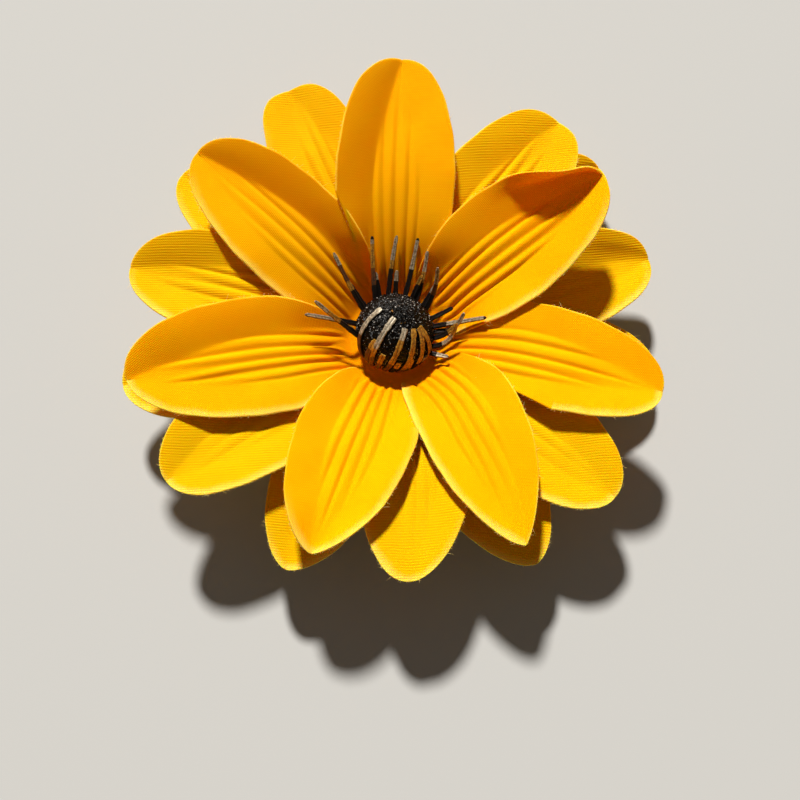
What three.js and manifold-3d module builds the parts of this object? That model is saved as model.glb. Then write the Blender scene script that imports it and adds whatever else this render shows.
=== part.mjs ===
// An artificial rudbeckia flower head, lying face up. Three die-cut fabric sheets, each a disc with seven
// pressed petal lobes, are threaded on the peg of a moulded stamen centre, and a cap on the peg holds them
// from behind. Millimetres, +Z up. The origin is the centre of the back cap's flat underside, and +Y is the
// way the broad lobe at azimuth 90 points. Azimuths are in degrees, counter-clockwise from +X.
import * as THREE from "three";
import { mergeVertices } from "three/addons/utils/BufferGeometryUtils.js";
import Module from "manifold-3d";

const wasm = await Module();
wasm.setup();

// Petal layers. DISC.z is the middle height of the lowest layer's disc, and PITCH the step to the next layer.
const PITCH = 1.1;
const DISC = { z: 3.9, beyondRoot: 1.2, thickness: 0.8, hole: 2.3, facets: 42 };
const SHEET = 0.7; // thickness of a pressed lobe
const SLIT = 0.6; // width of the cut between neighbouring lobes of one layer
const LOBE = {
  neck: 4.6, // half width where a lobe leaves the disc
  widestAt: 0.53, // share of the length at which a lobe is widest
  shoulder: 2.3, // the larger, the longer a lobe stays broad beyond its widest place
  waist: 0.95, // the smaller, the sooner it broadens from its neck
  bend: 2.5, // length over which a lobe leaves the level disc for its root slope
};
// Near the axis the lobes of a layer form one round cup; farther out each goes its own straight way.
const CUP = { roundTo: 10, straightFrom: 28 };
// The pressed relief: a grooved band down the middle, which narrows to a crease at the tip, and a flank that
// rises on each side of it, steepest at the crease.
const BAND = { half: 4.9, narrowsAt: 0.42, power: 1.5, mostOfTrimmedSide: 0.8 };
const GROOVES = { depth: 0.22, perBand: 4, startsAt: 0.06, fullAt: 0.18, fadesAt: 0.54, endsAt: 0.86 };
const FLANK = { startsAt: 0.02, easing: 0.5 };
const ROWS = [0, 0.035, 0.09, 0.2, 0.34, 0.5, 0.67, 0.82, 0.93, 1];
const BAND_COLUMNS = [0.25, 0.5, 0.75, 1];

// Each layer's lobes leave its level disc at its root radius, so that the cups nest. A lobe is [azimuth, length
// from the axis, half width, the power its tip closes with (1 pointed, 0.3 broad), rise of its left and right
// flanks, how far its tip leans to the left, slope at its tip, length of its cup]. The cup's length is the
// distance over which the steep slope of the root eases.
const LAYERS = {
  petals_top: {
    level: 2,
    root: 8,
    rootSlope: 50,
    flanksFullAt: 0.34,
    colour: 0xffc107,
    lobes: [
      [90.5, 57.4, 11.6, 0.49, 40, 10, -1.8, 7, 21],
      [140.5, 55, 10.6, 0.48, 8, 34, -0.2, 7, 21],
      [200.4, 56, 11.5, 0.5, 6, 27, -4.4, 5.8, 20],
      [254, 52.7, 11.1, 0.62, 16, 20, -1.7, 6, 19],
      [309.6, 53.2, 10.3, 0.76, 12, 16, -9.9, 4.5, 18],
      [345.5, 56.2, 10.2, 0.42, 15, 14, -2.2, 2.5, 18],
      [33, 53, 11.8, 0.47, 24, 20, 0.3, 19, 12],
    ],
  },
  petals_middle: {
    level: 1,
    root: 9,
    rootSlope: 48,
    flanksFullAt: 0.75,
    colour: 0xfcc60c,
    lobes: [
      [113, 56.6, 10.2, 0.29, 12, 14, 0.8, 4, 18],
      [169, 55.8, 11, 0.46, 12, 22, 0.2, 5, 19],
      [217.7, 56.9, 11, 0.46, 10, 16, 0.2, 7, 18],
      [281, 53.8, 11.1, 0.5, 12, 12, -6.4, 5.5, 17],
      [319.2, 56.8, 11.1, 0.47, 12, 12, 0.4, 1, 17],
      [16, 54.3, 10.9, 0.42, 22, 12, 0.3, 2.2, 8],
      [53, 56.6, 11.8, 0.37, 20, 10, -1.2, 3, 17],
    ],
  },
  petals_bottom: {
    level: 0,
    root: 10,
    rootSlope: 42,
    flanksFullAt: 0.8,
    colour: 0xf8c40c,
    lobes: [
      [94, 53, 11.4, 0.47, 10, 10, 0.2, 1, 15],
      [143, 56.4, 10.1, 0.5, 10, 10, 0, 1, 15],
      [192.5, 56, 11.6, 0.5, 10, 12, 0.4, 1, 15],
      [247.5, 53.8, 10.7, 0.6, 10, 10, -0.5, 1, 15],
      [299.8, 55.6, 10.8, 0.6, 12, 10, -0.2, 1, 15],
      [351, 53, 10.8, 0.47, 8, 10, 0.2, 0, 7],
      [40.5, 57, 11.4, 0.45, 14, 6, 0.3, 0, 8],
    ],
  },
};
// Flanks turned up further over a stretch of their length, by root radius of the layer and azimuth of the lobe:
// side (1 left, -1 right), degrees, the share of the length at the middle of the stretch, and its half length.
const UPTURNED = [
  { root: 8, azimuth: 33, side: 1, degrees: 48, at: 0.92, reach: 0.26 },
  { root: 8, azimuth: 254, side: 1, degrees: 12, at: 1, reach: 0.2 },
  { root: 8, azimuth: 254, side: -1, degrees: 10, at: 1, reach: 0.2 },
  { root: 8, azimuth: 309.6, side: 1, degrees: 10, at: 1, reach: 0.25 },
  { root: 8, azimuth: 309.6, side: -1, degrees: 10, at: 0.95, reach: 0.3 },
  { root: 9, azimuth: 16, side: 1, degrees: 10, at: 0.88, reach: 0.18 },
  { root: 10, azimuth: 40.5, side: 1, degrees: 16, at: 1, reach: 0.16 },
];

// Stamen centre. The head is a dome with a shallower underside, tilted on an upright collar and peg.
const HEAD = {
  z: 10.2, // height of the widest circle's centre
  radius: 7.7,
  crown: 6.6, // height of the dome above the widest circle
  belly: 7, // depth that the rounded underside would have if it weren't cut off
  floor: -2.2, // the flat underside, from the widest circle
  floorRadius: 5,
  tilt: 12,
  tiltAzimuth: 45,
  facets: 24,
  rings: [100, 90, 78, 66, 54, 42, 30, 18, 8], // angles from the pole at which the dome has an edge
};
const COLLAR = { radius: 3.4, bottom: 6.8, top: 9 };
const PEG = { radius: 2, bottom: 1.2, facets: 20 };
const STRAND = {
  rootWidth: 1.1,
  tipWidth: 0.7,
  thickness: 0.9,
  tipThickness: 0.6,
  segments: 3,
  sunk: 1.4, // how far a root starts inside the head
  rootLift: -10, // the roots stand on the head this far below its widest circle, as an angle
};
const HUGGING = { rootWidth: 1.3, tipWidth: 1.2, standOff: 0.2, segments: 5 };

// Strands that stand away from the head: [azimuth of the root, heading and lift at the root, heading and lift
// at the tip, length], where lift is the angle above level.
const SPLAYED = [
  [147, 128, 38, 118, 32, 13.5],
  [125, 97, 34, 90, 32, 13.5],
  [102, 86, 30, 76, 34, 13],
  [75, 72, 30, 78, 33, 13],
  [56, 62, 30, 84, 38, 11.5],
  [36, 45, 35, 92, 55, 11],
  [16, -3, 33, -5, 37, 13.2],
  [-8, -6, 26, 60, 50, 10],
  [-20, -24, 26, 75, 48, 9.5],
  [166, 182, 36, 190, 44, 13],
  [-168, 158, 46, 156, 50, 13],
  [140, 130, 30, 126, 34, 6],
  [113, 104, 34, 100, 38, 6],
  [88, 88, 34, 84, 38, 6],
  [65, 62, 34, 60, 42, 6.5],
  [45, 48, 30, 54, 40, 7],
  [26, 18, 26, 18, 32, 6],
  [4, 2, 22, 0, 26, 5],
  [-31, -30, 22, -18, 26, 5],
];
// Strands folded up over the dome: [azimuth and angle from the dome's pole at the root, the same at the tip].
const FOLDED = [
  [-144, 108, -213, 31],
  [-122, 112, -154, 9],
  [-99, 112, -66, 20],
  [-77, 112, -43, 27],
  [-53, 110, -20, 30],
  [-35, 105, -22, 29],
  [-133, 110, -134, 56],
  [-111, 110, -111, 66],
  [-88, 112, -84, 76],
  [-66, 110, -67, 72],
  [-44, 108, -41, 88],
];

// Back cap, pressed on the end of the peg, as radius and height along its profile.
const CAP = {
  flange: 7,
  edge: 0.4,
  rim: 1.2,
  shoulder: 1.6,
  boss: 4.3,
  top: 3.2,
  bore: 2.3,
  floor: 0.9,
  facets: 28,
};

const FINISH = {
  stamen: { color: 0x15110d, roughness: 0.55, metalness: 0 },
  cap: { color: 0x2f5a2a, roughness: 0.5, metalness: 0 },
};

const radians = THREE.MathUtils.degToRad;

function ramp(from, to, value) {
  return THREE.MathUtils.clamp((value - from) / (to - from), 0, 1);
}

function smooth(from, to, value) {
  const part = ramp(from, to, value);
  return part * part * (3 - 2 * part);
}

// The closed surface of a geometry as a solid that can be joined with others.
function solidOf(geometry) {
  const bare = new THREE.BufferGeometry();
  bare.setAttribute("position", geometry.getAttribute("position"));
  bare.setIndex(geometry.getIndex());
  const merged = mergeVertices(bare, 1e-3);
  const corners = merged.getIndex().array;
  const kept = [];
  for (let i = 0; i < corners.length; i += 3) {
    const [a, b, c] = corners.slice(i, i + 3);
    if (a !== b && b !== c && c !== a) kept.push(a, b, c);
  }
  return new wasm.Manifold(
    new wasm.Mesh({
      numProp: 3,
      vertProperties: merged.getAttribute("position").array,
      triVerts: new Uint32Array(kept),
    }),
  );
}

function joined(solids) {
  return solids.reduce((whole, solid) => whole.add(solid));
}

function meshOf(name, solid, material) {
  const { numProp, vertProperties, triVerts } = solid.getMesh();
  const points = new Float32Array((vertProperties.length / numProp) * 3);
  for (let i = 0; i < points.length / 3; i++) {
    points.set(vertProperties.subarray(i * numProp, i * numProp + 3), i * 3);
  }
  const geometry = new THREE.BufferGeometry();
  geometry.setAttribute("position", new THREE.BufferAttribute(points, 3));
  geometry.setIndex(new THREE.BufferAttribute(triVerts, 1));
  geometry.computeVertexNormals();
  const mesh = new THREE.Mesh(geometry, new THREE.MeshStandardMaterial(material));
  mesh.name = name;
  return mesh;
}

// A closed sheet between two grids of points that have the same rows and columns. Both faces are split into
// triangles alike. Rows run away from the root, columns from right to left seen from the upper face.
function closedSheet(upper, lower) {
  const rows = upper.length;
  const columns = upper[0].length;
  const under = rows * columns;
  const at = (row, column) => row * columns + column;
  const triangles = [];
  for (let i = 0; i < rows - 1; i++) {
    for (let j = 0; j < columns - 1; j++) {
      const [a, b, c, d] = [at(i, j), at(i + 1, j), at(i + 1, j + 1), at(i, j + 1)];
      triangles.push(a, b, c, a, c, d);
      triangles.push(under + a, under + c, under + b, under + a, under + d, under + c);
    }
  }
  const rim = [];
  for (let i = 0; i < rows - 1; i++) rim.push(at(i, 0));
  for (let j = 0; j < columns - 1; j++) rim.push(at(rows - 1, j));
  for (let i = rows - 1; i > 0; i--) rim.push(at(i, columns - 1));
  for (let j = columns - 1; j > 0; j--) rim.push(at(0, j));
  rim.forEach((p, k) => {
    const q = rim[(k + 1) % rim.length];
    triangles.push(p, under + p, under + q, p, under + q, q);
  });
  const geometry = new THREE.BufferGeometry();
  geometry.setFromPoints([...upper.flat(), ...lower.flat()]);
  geometry.setIndex(triangles);
  return geometry;
}

// Half the width of a lobe's outline at a distance from the axis, measured along the sheet.
function outline(distance, root, length, halfWidth, power) {
  const widest = LOBE.widestAt * length;
  if (distance > widest) {
    const closing = (1 - ramp(widest, length, distance) ** LOBE.shoulder) ** power;
    return Math.max(halfWidth * closing, 0.3 + 6 * Math.max(0.8 - power, 0) ** 3);
  }
  const rising = Math.sin((Math.PI / 2) * ramp(root, widest, distance)) ** LOBE.waist;
  return LOBE.neck + (halfWidth - LOBE.neck) * rising;
}

// The centre line of a lobe from the disc out: it leaves the disc level, in a steep cup that soon eases.
function centreLine(layer, run, tipSlope, cup) {
  const steps = 200;
  const slopeAt = (gone) =>
    radians(tipSlope + (layer.rootSlope - tipSlope) * Math.exp(-((gone / cup) ** 2))) *
    smooth(0, LOBE.bend, gone);
  const step = run / steps;
  const line = [{ x: layer.root, z: DISC.z + layer.level * PITCH, slope: 0 }];
  for (let i = 1; i <= steps; i++) {
    const middle = (slopeAt(i * step) + slopeAt((i - 1) * step)) / 2;
    const { x, z } = line[i - 1];
    line.push({ x: x + Math.cos(middle) * step, z: z + Math.sin(middle) * step, slope: slopeAt(i * step) });
  }
  return (share) => line[Math.round(share * steps)];
}

// Half the width of the grooved band at a share of the length.
function bandAt(share) {
  return BAND.half * (1 - ramp(BAND.narrowsAt, 1, share) ** BAND.power) + 0.02;
}

// Height of a flank above the centre line, at a distance across.
function flankRise(layer, share, across, width, band, degrees) {
  const span = Math.max(width - band, 0.4);
  const out = Math.max(Math.abs(across) - band, 0) / span;
  const eased = (out * (1 - (FLANK.easing * Math.min(out, 1.3)) / 2)) / (1 - FLANK.easing / 2);
  return Math.tan(radians(degrees)) * span * eased * smooth(FLANK.startsAt, layer.flanksFullAt, share);
}

// Depth of the grooves at a share of the length.
function grooveDepth(share) {
  const starting = smooth(GROOVES.startsAt, GROOVES.fullAt, share);
  return GROOVES.depth * starting * (1 - smooth(GROOVES.fadesAt, GROOVES.endsAt, share));
}

// Turns a place on a flank up about the edge of the band.
function turnedUp(degrees, side, band, width, place) {
  const out = side * place.across - band;
  if (out <= 0) return place;
  const angle = radians(degrees) * smooth(0, 0.5, out / width);
  const across = side * (band + out * Math.cos(angle) - place.height * Math.sin(angle));
  return { across, height: out * Math.sin(angle) + place.height * Math.cos(angle) };
}

// The places across one side of a row, from the centre line out, as distances across and heights. Where the
// outline would meet the neighbour's, the side stops half a slit short of the line that halves the angle.
function sideOfRow(layer, row, side) {
  const { share, x, slope, width, azimuth, lean } = row;
  const { degrees, halfAngle } = side > 0 ? row.left : row.right;
  const band = bandAt(share);
  let clear = x * Math.tan(halfAngle);
  for (let i = 0; i < 4; i++) {
    const rise = flankRise(layer, share, clear, width, band, degrees);
    clear = (x - Math.sin(slope) * rise) * Math.tan(halfAngle) - SLIT / 2 - side * lean * share ** 2;
  }
  const edge = Math.min(width, clear);
  const inner = Math.min(band, BAND.mostOfTrimmedSide * edge);
  const parts = [...BAND_COLUMNS.map((part) => part * inner), (inner + edge) / 2, edge];
  const roundEdge = Math.min(width, x * halfAngle - SLIT / 2);
  const upturns = UPTURNED.filter(
    (each) => each.root === layer.root && each.azimuth === azimuth && each.side === side,
  );
  return parts.map((part, k) => {
    const wave = k < BAND_COLUMNS.length ? Math.cos(GROOVES.perBand * Math.PI * BAND_COLUMNS[k]) : 0;
    const height = flankRise(layer, share, part, width, band, degrees) - grooveDepth(share) * wave;
    let place = { across: side * part, height };
    for (const { degrees: more, at, reach } of upturns) {
      place = turnedUp(more * Math.exp(-(((share - at) / reach) ** 2)), side, band, width, place);
    }
    return { ...place, around: (side * part * roundEdge) / edge / x };
  });
}

// One pressed lobe: a grid of places on its middle surface, thickened by half the sheet both ways.
function lobe(layer, values, angleToRight, angleToLeft) {
  const [azimuth, length, halfWidth, power, left, right, lean, tipSlope, cup] = values;
  const run = length - layer.root;
  const line = centreLine(layer, run, tipSlope, cup);
  const grid = ROWS.map((share) => {
    const { x, z, slope } = line(share);
    const width = outline(layer.root + share * run, layer.root, length, halfWidth, power);
    const row = {
      share,
      x,
      slope,
      width,
      azimuth,
      lean,
      left: { degrees: left, halfAngle: radians(angleToLeft / 2) },
      right: { degrees: right, halfAngle: radians(angleToRight / 2) },
    };
    const middle = { across: 0, height: -grooveDepth(share), around: 0 };
    const places = [...sideOfRow(layer, row, -1).reverse(), middle, ...sideOfRow(layer, row, 1)];
    const straight = smooth(CUP.roundTo, CUP.straightFrom, x);
    return places.map(({ across, height, around }) => {
      const out = x - Math.sin(slope) * height;
      return new THREE.Vector3(
        straight * out + (1 - straight) * out * Math.cos(around),
        straight * (across + lean * share ** 2) + (1 - straight) * out * Math.sin(around),
        z + Math.cos(slope) * height,
      );
    });
  });
  const normals = grid.map((row, i) => row.map((_, j) => normalAt(grid, i, j)));
  const face = (offset) =>
    grid.map((row, i) => row.map((place, j) => place.clone().addScaledVector(normals[i][j], offset)));
  return closedSheet(face(SHEET / 2), face(-SHEET / 2)).rotateZ(radians(azimuth));
}

// The upward normal of a grid of places at one of them.
function normalAt(grid, i, j) {
  if (i === 0) return new THREE.Vector3(0, 0, 1);
  const [before, after] = [Math.max(i - 1, 0), Math.min(i + 1, grid.length - 1)];
  const [right, left] = [Math.max(j - 1, 0), Math.min(j + 1, grid[i].length - 1)];
  const along = grid[after][j].clone().sub(grid[before][j]).normalize();
  const across = grid[i][left].clone().sub(grid[i][right]).normalize();
  return along.cross(across).normalize();
}

function disc(layer) {
  const z = DISC.z + layer.level * PITCH;
  const radius = layer.root + DISC.beyondRoot;
  const [low, high] = [z - DISC.thickness / 2, z + DISC.thickness / 2];
  const profile = [
    new THREE.Vector2(DISC.hole, low),
    new THREE.Vector2(radius, low),
    new THREE.Vector2(radius, high),
    new THREE.Vector2(DISC.hole, high),
    new THREE.Vector2(DISC.hole, low),
  ];
  return upright(profile, DISC.facets);
}

// A turned shape from its [radius, height] profile, with the axis along Z.
function upright(profile, facets) {
  return new THREE.LatheGeometry(profile, facets).rotateX(Math.PI / 2);
}

function petalLayer(name, layer) {
  const { lobes } = layer;
  const sorted = [...lobes].sort((a, b) => a[0] - b[0]);
  const solids = sorted.map((each, k) => {
    const before = sorted[(k + sorted.length - 1) % sorted.length];
    const after = sorted[(k + 1) % sorted.length];
    const toRight = (each[0] - before[0] + 360) % 360;
    const toLeft = (after[0] - each[0] + 360) % 360;
    return solidOf(lobe(layer, each, toRight, toLeft));
  });
  const solid = joined([solidOf(disc(layer)), ...solids]);
  return meshOf(name, solid, { color: layer.colour, roughness: 0.85, metalness: 0 });
}

// A direction from its heading and its lift above level.
function direction(heading, lift) {
  return new THREE.Vector3(
    Math.cos(radians(lift)) * Math.cos(radians(heading)),
    Math.cos(radians(lift)) * Math.sin(radians(heading)),
    Math.sin(radians(lift)),
  );
}

const headFrame = new THREE.Matrix4()
  .makeTranslation(0, 0, HEAD.z)
  .multiply(
    new THREE.Matrix4().makeRotationAxis(
      new THREE.Vector3(-Math.sin(radians(HEAD.tiltAzimuth)), Math.cos(radians(HEAD.tiltAzimuth)), 0),
      radians(HEAD.tilt),
    ),
  );

// The point of the head's surface, or outside it by a stand-off, that a direction from its centre leads to.
function onHead(towards, standOff) {
  const height = (towards.z > 0 ? HEAD.crown : HEAD.belly) + standOff;
  const radius = HEAD.radius + standOff;
  const point = new THREE.Vector3(towards.x * radius, towards.y * radius, towards.z * height);
  return point.applyMatrix4(headFrame);
}

// A flat-sided strand along a path, with its broad side turned to a given direction at each point.
function strand(path, facing, rootWidth, tipWidth) {
  const outer = [];
  const inner = [];
  path.forEach((point, i) => {
    const share = i / (path.length - 1);
    const along = path[Math.min(i + 1, path.length - 1)]
      .clone()
      .sub(path[Math.max(i - 1, 0)])
      .normalize();
    const out = facing[i].clone().addScaledVector(along, -facing[i].dot(along)).normalize();
    const side = out.clone().cross(along);
    const halfWidth = THREE.MathUtils.lerp(rootWidth, tipWidth, share) / 2;
    const halfThickness = THREE.MathUtils.lerp(STRAND.thickness, STRAND.tipThickness, share) / 2;
    const corner = (across, through) =>
      point
        .clone()
        .addScaledVector(side, across * halfWidth)
        .addScaledVector(out, through * halfThickness);
    outer.push([corner(-1, 1), corner(1, 1)]);
    inner.push([corner(-1, -1), corner(1, -1)]);
  });
  return closedSheet(outer, inner);
}

function splayedStrand([root, heading, lift, endHeading, endLift, length]) {
  const start = direction(heading, lift);
  const end = direction(endHeading, endLift);
  const path = [onHead(direction(root, STRAND.rootLift), -STRAND.sunk)];
  for (let i = 1; i <= STRAND.segments; i++) {
    const way = start.clone().lerp(end, (i - 0.5) / STRAND.segments).normalize();
    path.push(path[i - 1].clone().addScaledVector(way, (length + STRAND.sunk) / STRAND.segments));
  }
  const facing = path.map(() => new THREE.Vector3(0, 0, 1));
  return strand(path, facing, STRAND.rootWidth, STRAND.tipWidth);
}

function foldedStrand([rootAzimuth, rootAngle, tipAzimuth, tipAngle]) {
  const root = direction(rootAzimuth, 90 - rootAngle);
  const tip = direction(tipAzimuth, 90 - tipAngle);
  const turn = new THREE.Quaternion().setFromUnitVectors(root, tip);
  const ways = [];
  for (let i = 0; i <= HUGGING.segments; i++) {
    ways.push(root.clone().applyQuaternion(new THREE.Quaternion().slerp(turn, i / HUGGING.segments)));
  }
  const path = ways.map((way) => onHead(way, HUGGING.standOff));
  return strand(path, ways, HUGGING.rootWidth, HUGGING.tipWidth);
}

function head() {
  const profile = [
    new THREE.Vector2(0, HEAD.floor),
    new THREE.Vector2(HEAD.floorRadius, HEAD.floor),
  ];
  for (const angle of HEAD.rings) {
    const height = angle > 90 ? HEAD.belly : HEAD.crown;
    profile.push(
      new THREE.Vector2(HEAD.radius * Math.sin(radians(angle)), height * Math.cos(radians(angle))),
    );
  }
  profile.push(new THREE.Vector2(0, HEAD.crown));
  return upright(profile, HEAD.facets).applyMatrix4(headFrame);
}

function collarAndPeg() {
  const profile = [
    new THREE.Vector2(0, PEG.bottom),
    new THREE.Vector2(PEG.radius, PEG.bottom),
    new THREE.Vector2(PEG.radius, COLLAR.bottom),
    new THREE.Vector2(COLLAR.radius, COLLAR.bottom),
    new THREE.Vector2(COLLAR.radius, COLLAR.top),
    new THREE.Vector2(0, COLLAR.top),
  ];
  return upright(profile, PEG.facets);
}

function stamenCentre() {
  const solids = [
    head(),
    collarAndPeg(),
    ...SPLAYED.map(splayedStrand),
    ...FOLDED.map(foldedStrand),
  ].map(solidOf);
  return meshOf("stamen_centre", joined(solids), FINISH.stamen);
}

function backCap() {
  const profile = [
    new THREE.Vector2(0, 0),
    new THREE.Vector2(CAP.flange - CAP.edge, 0),
    new THREE.Vector2(CAP.flange, CAP.edge),
    new THREE.Vector2(CAP.flange, CAP.rim),
    new THREE.Vector2(CAP.boss, CAP.shoulder),
    new THREE.Vector2(CAP.boss, CAP.top),
    new THREE.Vector2(CAP.bore, CAP.top),
    new THREE.Vector2(CAP.bore, CAP.floor),
    new THREE.Vector2(0, CAP.floor),
  ];
  return meshOf("back_cap", solidOf(upright(profile, CAP.facets)), FINISH.cap);
}

const flower = new THREE.Group();
flower.name = "artificial_rudbeckia_head";
for (const [name, layer] of Object.entries(LAYERS)) flower.add(petalLayer(name, layer));
flower.add(stamenCentre(), backCap());

export default flower;
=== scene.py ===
"""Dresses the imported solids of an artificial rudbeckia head: three pressed cloth petal sheets, a stamen
centre with painted strands, and the moulded cap behind. Sizes in the tables below are millimetres and
degrees, azimuths run counter-clockwise from +X, and every mesh is scaled to metres as it is made."""

import math

import bpy
import numpy as np
from bpy.props import FloatProperty, FloatVectorProperty, IntProperty, PointerProperty
from mathutils import Matrix, Vector


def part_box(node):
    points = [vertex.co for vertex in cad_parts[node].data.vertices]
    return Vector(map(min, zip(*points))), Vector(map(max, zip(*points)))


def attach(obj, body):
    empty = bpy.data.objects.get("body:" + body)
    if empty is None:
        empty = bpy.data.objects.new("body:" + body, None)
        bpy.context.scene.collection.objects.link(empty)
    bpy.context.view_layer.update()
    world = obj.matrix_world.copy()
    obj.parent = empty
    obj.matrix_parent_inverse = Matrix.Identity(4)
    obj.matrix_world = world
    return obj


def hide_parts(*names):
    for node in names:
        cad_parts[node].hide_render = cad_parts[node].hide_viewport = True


bl_info = {
    "name": "Artificial rudbeckia head",
    "version": (1, 0, 0),
    "blender": (4, 5, 0),
    "location": "View3D > Sidebar > Rudbeckia",
    "description": "Builds the cloth petals, painted stamen centre and back cap of an artificial rudbeckia",
    "category": "Object",
}

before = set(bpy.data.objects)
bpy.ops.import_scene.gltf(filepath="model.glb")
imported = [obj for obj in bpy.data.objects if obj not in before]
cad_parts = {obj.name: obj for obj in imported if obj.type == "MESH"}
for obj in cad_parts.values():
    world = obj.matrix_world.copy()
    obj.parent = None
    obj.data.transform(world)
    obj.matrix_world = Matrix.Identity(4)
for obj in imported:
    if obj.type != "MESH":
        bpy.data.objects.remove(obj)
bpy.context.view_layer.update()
MM = 0.001

# The cut of a petal sheet, as the solids have it, and the rows of points over its disc.
DISC = {"thickness": 0.8, "hole": 2.3, "rows": 6}
LOBE = {
    "neck": 4.6,
    "widest_at": 0.53,
    "shoulder": 2.3,
    "waist": 0.95,
    "bend": 2.5,
    "blunt_by": 0.3,
    "broad_by": 6,
    "broad_from": 0.8,
}
# Near the axis the lobes of a sheet form one round cup; farther out each goes its own straight way.
CUP = {"round_to": 10.0, "straight_from": 28.0}
# The pressed relief: a band of ridges down the middle, which narrows to a crease at the tip, and a flank that
# rises on each side of it, steepest at the crease.
BAND = {"half": 4.9, "least": 0.02, "narrows_at": 0.42, "power": 1.5, "crease_radius": 0.45}
RIDGES = {
    "pitch": 2.45,
    "starts_at": 0.06,
    "full_at": 0.14,
    "fades_at": 0.58,
    "ends_at": 0.92,
    "sharpness": 1.3,
    "side_fade": (-0.7, 1.0),
    "root_pitch": 0.74,
    "full_pitch_at": 0.55,
}
# How the ridges wander, along a lobe and across it, how unevenly they start, and how their height varies: the
# size of each wave and how fast it turns, in radians.
RIDGE_WAVES = {"along": (0.2, 2.6), "across": (0.14, 0.8), "start": (0.07, 1.7), "height": (0.25, 2.1)}
# Shallow waves that run over a whole lobe: height, turns along it and turns across it, in radians.
ROLLING = [(0.14, 5, 0.16), (0.08, 11, -0.26), (0.05, 19, 0.4)]
# Small waves of the cut outline: height as a share of the width, and turns along the lobe, in radians.
CUT_WAVES = [(0.006, 17), (0.005, 41)]
# Rows of points lie closer together towards the tip by this power, and columns over the ridges by this share.
CROWDING = {"rows": 1.3, "columns": 0.32}
# Distances that stand for cloth with no rim near: in the disc, and where a lobe is trimmed at its neighbour.
NO_RIM = {"disc": 9.0, "trimmed": 4.0}
FLANK = {"starts_at": 0.02, "least_width": 0.4, "easing": 0.5, "eased_to": 1.3}
# Where two lobes of a sheet overlap, one flank lies over the other.
LAP = {"starts": 9.2, "full": 12.0, "ends": 30.0, "lift": 0.3, "tuck": 0.15, "over": 3.0}

# Each sheet's lobes leave its level disc at its root radius, so that the cups nest. Each lobe is azimuth,
# length from the axis, half width, the power its tip closes with (1 pointed, 0.3 broad), the rise of its left
# and right flanks in degrees, whether they lie over the next lobe's (1) or under (-1), the height of its
# ridges, how far its tip leans to the left, its slope at the tip, and how long its cup is: the distance over
# which the steep slope of the root eases.
SHEETS = {
    "petals_top": {
        "root": 8.0,
        "root_slope": 50,
        "grain": 2,
        "ribs": 0.3,
        "flanks_full_at": 0.34,
        "lobes": [
            (90.5, 57.4, 11.6, 0.49, 40, 15, -1, -1, 0.26, -1.8, 7, 21),
            (140.5, 55, 10.6, 0.48, 8, 34, -1, 1, 0.18, -0.2, 7, 21),
            (200.4, 56, 11.5, 0.5, 6, 27, -1, 1, 0.3, -4.4, 5.8, 20),
            (254, 52.7, 11.1, 0.62, 16, 20, -1, 1, 0.32, -1.7, 6, 19),
            (309.6, 53.2, 10.3, 0.76, 12, 16, 1, 1, 0.28, -9.9, 4.5, 18),
            (345.5, 56.2, 10.2, 0.42, 15, 14, -1, -1, 0.26, -2.2, 2.5, 18),
            (33, 53, 11.8, 0.47, 24, 20, 1, 1, 0.34, 0.3, 19, 13),
        ],
    },
    "petals_middle": {
        "root": 9.0,
        "root_slope": 48,
        "grain": -3,
        "ribs": 1.0,
        "flanks_full_at": 0.75,
        "lobes": [
            (113, 56.6, 10.2, 0.29, 12, 14, -1, 1, 0.4, 0.8, 4, 18),
            (169, 55.8, 11, 0.46, 12, 22, -1, 1, 0.26, 0.2, 5, 19),
            (217.7, 56.9, 11, 0.46, 10, 16, -1, 1, 0.1, 0.2, 7, 18),
            (281, 53.8, 11.1, 0.5, 12, 12, -1, 1, 0.16, -6.4, 5.5, 17),
            (319.2, 56.8, 11.1, 0.47, 12, 12, -1, 1, 0.1, 0.4, 1, 17),
            (16, 54.3, 10.9, 0.42, 22, 12, -1, 1, 0.12, 0.3, 2.2, 8),
            (53, 56.6, 11.8, 0.37, 20, 10, -1, 1, 0.46, -1.2, 3, 17),
        ],
    },
    "petals_bottom": {
        "root": 10.0,
        "root_slope": 42,
        "grain": 4,
        "ribs": 1.0,
        "flanks_full_at": 0.8,
        "lobes": [
            (94, 53, 11.4, 0.47, 10, 10, -1, 1, 0.14, 0.2, 1, 15),
            (143, 56.4, 10.1, 0.5, 10, 10, -1, 1, 0.14, 0, 1, 15),
            (192.5, 56, 11.6, 0.5, 10, 12, -1, 1, 0.14, 0.4, 1, 15),
            (247.5, 53.8, 10.7, 0.6, 10, 10, -1, 1, 0.14, -0.5, 1, 15),
            (299.8, 55.6, 10.8, 0.6, 12, 10, -1, 1, 0.14, -0.2, 1, 15),
            (351, 53, 10.8, 0.47, 8, 10, -1, 1, 0.14, 0.2, 0, 7),
            (40.5, 57, 11.4, 0.45, 14, 6, -1, 1, 0.14, 0.3, 0, 8),
        ],
    },
}
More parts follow.
